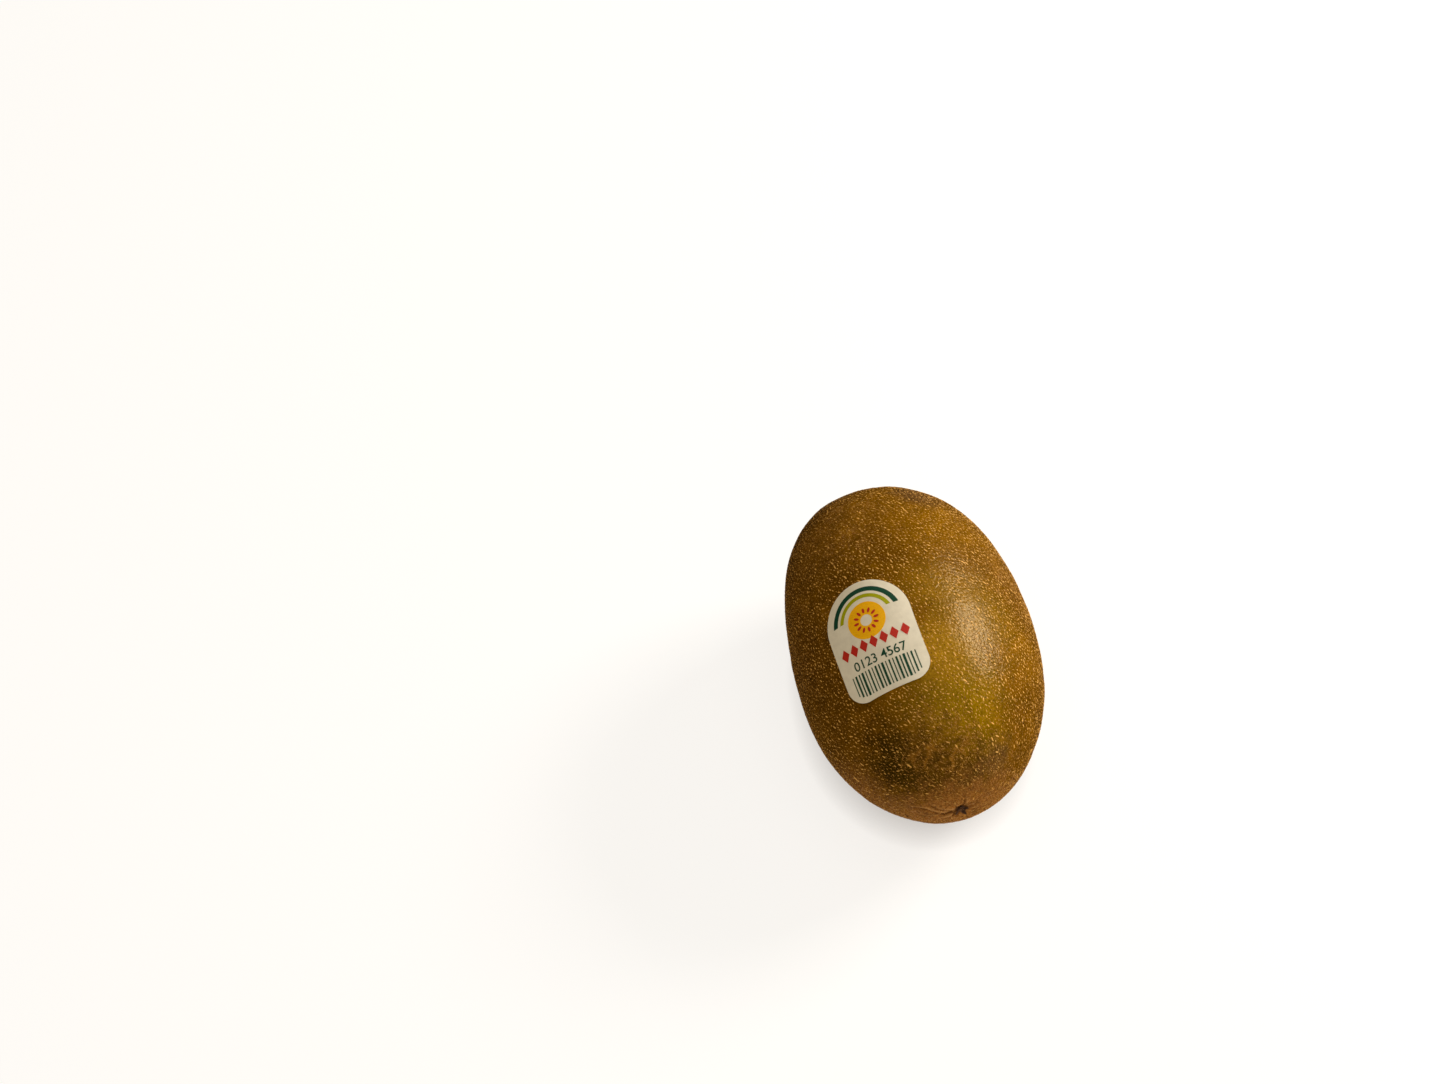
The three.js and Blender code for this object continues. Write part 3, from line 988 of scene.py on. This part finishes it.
def skin_material():
    """Waxy fruit skin, grown: a satin cuticle over thin cork. It gives broad dull highlights that the fine
    peel breaks up, and colours that drift from green gold to russet."""
    material, tree = new_material("waxy_russeted_fruit_skin")
    place = add(tree, "TexCoord", output="Object")
    drift = add(tree, "TexNoise", {}, {**sized(place, 13), "Detail": 3.0})
    mottle = add(tree, "TexNoise", {}, {**sized(place, 2.6), "Detail": 4.0, "Roughness": 0.6})
    fine = add(tree, "TexNoise", {}, {**sized(place, 0.5), "Detail": 2.0})

    # The ground colour drifts slowly, lies under the zones, and is mottled, most finely where it is coarse.
    share = add(tree, "MapRange", {}, {"Value": drift, "From Min": 0.35, "From Max": 0.65})
    tint = add(tree, "Mix", RGBA, {0: share, UNDER: colour("olive_gold"), OVER: colour("olive_brown")}, MIXED)
    # Some zones are painted light: a painted highlight beside the lamp's own, and painted shade away from the
    # key, on the lower front and in the blossom pit.
    tint, coarse = zoned(tree, place, tint, mottle)
    tint = shaded(tree, tint, mottle, 0.74, 1.28)
    contrast = add(tree, "MapRange", {}, {"Value": coarse, "To Min": 0.9, "To Max": 2.4})
    off = add(tree, "Math", {"operation": "SUBTRACT"}, {0: fine, 1: 0.5})
    shade = add(tree, "Math", MULTIPLY_ADD, {0: off, 1: contrast, 2: 1.0})
    tint = add(tree, "VectorMath", SCALE, {0: tint, "Scale": shade})

    # Small pale flecks, some stronger than others.
    cell = add(tree, "TexVoronoi", {}, sized(place, 0.62), output="Distance")
    fleck = add(tree, "MapRange", SMOOTH, {"Value": cell, "From Min": 0.5, "From Max": 0.1, "To Max": 0.4})
    chance = add(tree, "SeparateColor", {}, {"Color": cell.node.outputs["Color"]})
    fleck = add(tree, "Math", MULTIPLY, {0: fleck, 1: chance})
    tint = add(tree, "Mix", RGBA, {0: fleck, UNDER: tint, OVER: colour("fleck")}, MIXED)

    # Painted shade darkens the creases, and a painted highlight makes their lips pale.
    crease = add(tree, "Attribute", {"attribute_name": "crease"}, output="Fac")
    for name, most in (("crease", 0.35), ("lip", -0.25)):
        cover = add(tree, "MapRange", {}, {"Value": crease, "From Max": most, "To Max": 0.6})
        tint = add(tree, "Mix", RGBA, {0: cover, UNDER: tint, OVER: colour(name)}, MIXED)

    # Painted shade in the pits of the pores, which the relief also sinks.
    pores = add(tree, "TexVoronoi", {}, sized(place, 0.95), output="Distance")
    pit = add(tree, "MapRange", SMOOTH, {"Value": pores, "From Min": 0.24, "From Max": 0.1})
    cover = add(tree, "Math", MULTIPLY, {0: pit, 1: 0.55})
    tint = add(tree, "Mix", RGBA, {0: cover, UNDER: tint, OVER: colour("pit")}, MIXED)

    peel = add(tree, "TexNoise", {}, {**sized(place, 0.6), "Detail": 2.0})
    relief = add(tree, "Math", MULTIPLY_ADD, {0: pit, 1: -0.2, 2: peel})
    relief = add(tree, "Math", MULTIPLY_ADD, {0: fleck, 1: 0.5, 2: relief})
    roughness = add(tree, "MapRange", {}, {
        "Value": fine, "From Min": 0.3, "From Max": 0.7, "To Min": 0.21, "To Max": 0.3})
    surface(tree, tint, relief, 1.0, 0.14, {
        "Roughness": roughness, "IOR": 1.45, "Specular IOR Level": 0.3, "Specular Tint": colour("wax"),
        "Sheen Weight": 0.06, "Sheen Roughness": 0.3, "Sheen Tint": colour("sheen"),
    })
    return material


def cork_material():
    """Dry cork of the grains, grown: matt tan to brown, no two alike."""
    material, tree = new_material("dry_lenticel_cork")
    tone = add(tree, "Attribute", {"attribute_name": "tone"}, output="Fac")
    place = add(tree, "TexCoord", output="Object")
    grain = add(tree, "TexNoise", {}, sized(place, 0.3))
    tint = add(tree, "Mix", RGBA, {0: tone, UNDER: colour("cork_dark"), OVER: colour("cork_pale")}, MIXED)
    surface(tree, shaded(tree, tint, grain, 0.8, 1.15), grain, 0.5, 0.03, {"Roughness": 0.62, "IOR": 1.45})
    return material


def dried_material(name, inner, outer, roughness):
    """Dried plant tissue: brittle, fibrous and matt, with paler patches along its fibres."""
    material, tree = new_material(name)
    place = add(tree, "TexCoord", output="Object")
    fibre = add(tree, "TexNoise", {}, {**sized(place, 0.6), "Detail": 4.0, "Roughness": 0.7})
    share = add(tree, "MapRange", SMOOTH, {"Value": fibre, "From Min": 0.45, "From Max": 0.75})
    tint = add(tree, "Mix", RGBA, {0: share, UNDER: colour(inner), OVER: colour(outer)}, MIXED)
    surface(tree, tint, fibre, 0.8, 0.12, {"Roughness": roughness, "IOR": 1.45})
    return material


def label_material(name, tint):
    """Label film, cast polypropylene, off-white and faintly uneven, or the even, finely grained ink printed
    on it. Both lie under a matt varnish, whose soft shine the film's ripples break up."""
    material, tree = new_material(name)
    place = add(tree, "TexCoord", output="Object")
    ripple = add(tree, "TexNoise", {}, {**sized(place, 1.4), "Detail": 3.0})
    if tint == "film":
        tinted = shaded(tree, colour(tint)[:3], ripple, 0.93, 1.04)
    else:
        grain = add(tree, "TexNoise", {}, sized(place, 0.25))
        tinted = shaded(tree, colour(tint)[:3], grain, 0.88, 1.1)
    surface(tree, tinted, ripple, 0.5, 0.06, {"Roughness": 0.42, "IOR": 1.49})
    return material


# ---- the fruit, put together

def lay_label(body):
    """The film pressed on the body, and the finished prints on the film."""
    film = lay_on(dice(flat_film(), LABEL_DICE), body, LABEL["gap"], LABEL["thickness"])
    for ink, piece in prints().items():
        layer = 2 if ink == "ink_red" else 1  # the red lies over the other inks
        lay_on(dice(piece, LABEL_DICE), film, INK_GAP * layer, INK_THICKNESS)
        material = label_material("flexo_print_" + ink, ink)
        finish(piece, ink.replace("ink", "print"), material, smooth=False)
    return film


def strew_grains(body, random):
    """The cork on the skin. For each kind: how likely it is at a place, and how pale each grain is."""
    kinds = (
        (
            "lenticels", LENTICELS,
            lambda p: np.clip(0.45 + 0.9 * patchiness(p, 6.0), 0, 1) * (1 - 0.95 * russet_share(p) ** 2),
            lambda size, p, r: 0.7 + 0.5 * (size - 0.8) - 0.5 * worn(p) + r.normal(0, 0.25, len(size)),
        ),
        (
            "russet_grains", RUSSET,
            lambda p: russet_share(p) * (0.3 + 0.5 * patchiness(p, 3.0) + 3.0 * strands(p)),
            lambda size, p, r: r.normal(0.25, 0.2, len(size)),
        ),
        (
            "cork_dots", DOTS,
            lambda p: (0.3 + 0.7 * patchiness(p + 40, 4.0)) * (1 - 0.9 * russet_share(p) ** 2),
            lambda size, p, r: r.normal(0.15, 0.35, len(size)) - 0.3 * worn(p),
        ),
    )
    taken = {}
    return [scatter(*kind, body, taken, random) for kind in kinds]


def dress_ends(body, random):
    """The dried remains at the stem end and in the blossom pit."""
    skin = surface_of(body)
    sepal = dried_material("dried_sepal", "sepal", "sepal_edge", 0.7)
    style = dried_material("dried_style", "style", "style_edge", 0.6)
    hairs = dried_material("dried_style_hairs", "style_edge", "style_pale", 0.6)
    wood = dried_material("dry_calyx_wood", "scar", "sepal_edge", 0.75)
    stump = dried_material("dry_stalk_wood", "scar", "russet", 0.75)
    finish(woody_plate(skin), "woody_plate", wood)
    finish(stalk_scar(skin), "stalk_scar", stump)
    finish(join([blades(skin, 1, shape, random) for shape in (SEPALS, SHREDS)]), "sepals", sepal)
    finish(blades(skin, -1, STAR, random), "blossom_star", style)
    finish(dried_styles(skin, random), "dried_styles", hairs)


def make_fruit():
    """The skin with its label, its cork and its dried ends."""
    random = np.random.default_rng(SEED)
    body = smooth_skin()
    film = lay_label(body)
    press_flat(roughen(body, **PEEL))
    grains = strew_grains(body, random)
    finish(body, "fruit_skin", skin_material())
    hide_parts("fruit")
    finish(film, "label_film", label_material("matt_varnished_label_film", "film"), smooth=False)
    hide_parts("label")
    cork = cork_material()
    for piece in grains:
        finish(piece, piece.name, cork)
    dress_ends(body, random)


# ---- floor, lights and camera

def stage_floor():
    """A pale table. It glows evenly, except near the fruit, where a painted contact shadow dims the glow. The
    light that it throws back comes from lamps below, so the table itself lights and shades nothing."""
    bpy.ops.mesh.primitive_plane_add(size=FLOOR_SIZE * MM)
    floor = bpy.context.object
    floor.name = "floor"
    material, tree = new_material("matt_white_table")
    # Ambient occlusion dims the glow near the fruit: a painted contact shadow.
    open_sky = add(tree, "AmbientOcclusion", {}, {"Distance": PAINTED_SHADOW_REACH * MM}, output="AO")
    glow = add(tree, "MapRange", {}, {"Value": open_sky, "To Min": 0.3, "To Max": 0.82})
    shader = add(tree, "BsdfPrincipled", {}, {
        "Base Color": colour("floor"), "Roughness": 0.8,
        "Emission Color": colour("sky"), "Emission Strength": glow,
    })
    add(tree, "OutputMaterial", {}, {"Surface": shader})
    floor.data.materials.append(material)
    floor.visible_diffuse = False
    floor.visible_glossy = False
    floor.visible_shadow = False


def softbox(name, towards, distance, wide, tall, power, shines):
    """A flat lamp that faces the fruit and is never seen itself."""
    direction = Vector(towards).normalized()
    bpy.ops.object.light_add(type="AREA", location=Vector(MIDDLE * MM) + direction * distance * MM)
    lamp = bpy.context.object
    lamp.name = name
    lamp.rotation_euler = (-direction).to_track_quat("-Z", "Y").to_euler()
    lamp.data.shape = "RECTANGLE"
    lamp.data.size = wide * MM
    lamp.data.size_y = tall * MM
    lamp.data.energy = power
    lamp.data.color = colour("lamp")[:3]
    lamp.visible_camera = False
    lamp.visible_glossy = shines


def studio():
    """The table, the lamps and a dim warm room round them."""
    stage_floor()
    for lamp in LAMPS:
        softbox(**lamp)
    world = bpy.data.worlds.new("studio")
    bpy.context.scene.world = world
    world.use_nodes = True
    world.node_tree.nodes.clear()
    world.cycles_visibility.glossy = False
    glow = add(world.node_tree, "Background", {}, {"Color": colour("room"), "Strength": ROOM_LIGHT})
    add(world.node_tree, "OutputWorld", {}, {"Surface": glow})
    bpy.context.scene.view_settings.view_transform = "Standard"


def camera():
    """The camera, which stands back from the fruit and looks past it."""
    azimuth, elevation = math.radians(CAMERA["azimuth"]), math.radians(CAMERA["elevation"])
    back = Vector((
        math.sin(azimuth) * math.cos(elevation), -math.cos(azimuth) * math.cos(elevation), math.sin(elevation)
    ))
    place = Vector(MIDDLE * MM) + back * CAMERA["distance"] * MM
    ahead = Vector(LOOK_AT) * MM - place
    bpy.ops.object.camera_add(location=place, rotation=ahead.to_track_quat("-Z", "Y").to_euler())
    view = bpy.context.object
    view.data.lens = LENS
    view.data.sensor_width = SENSOR
    view.data.clip_start = CLIP_START * MM
    bpy.context.scene.camera = view


make_fruit()
studio()
camera()
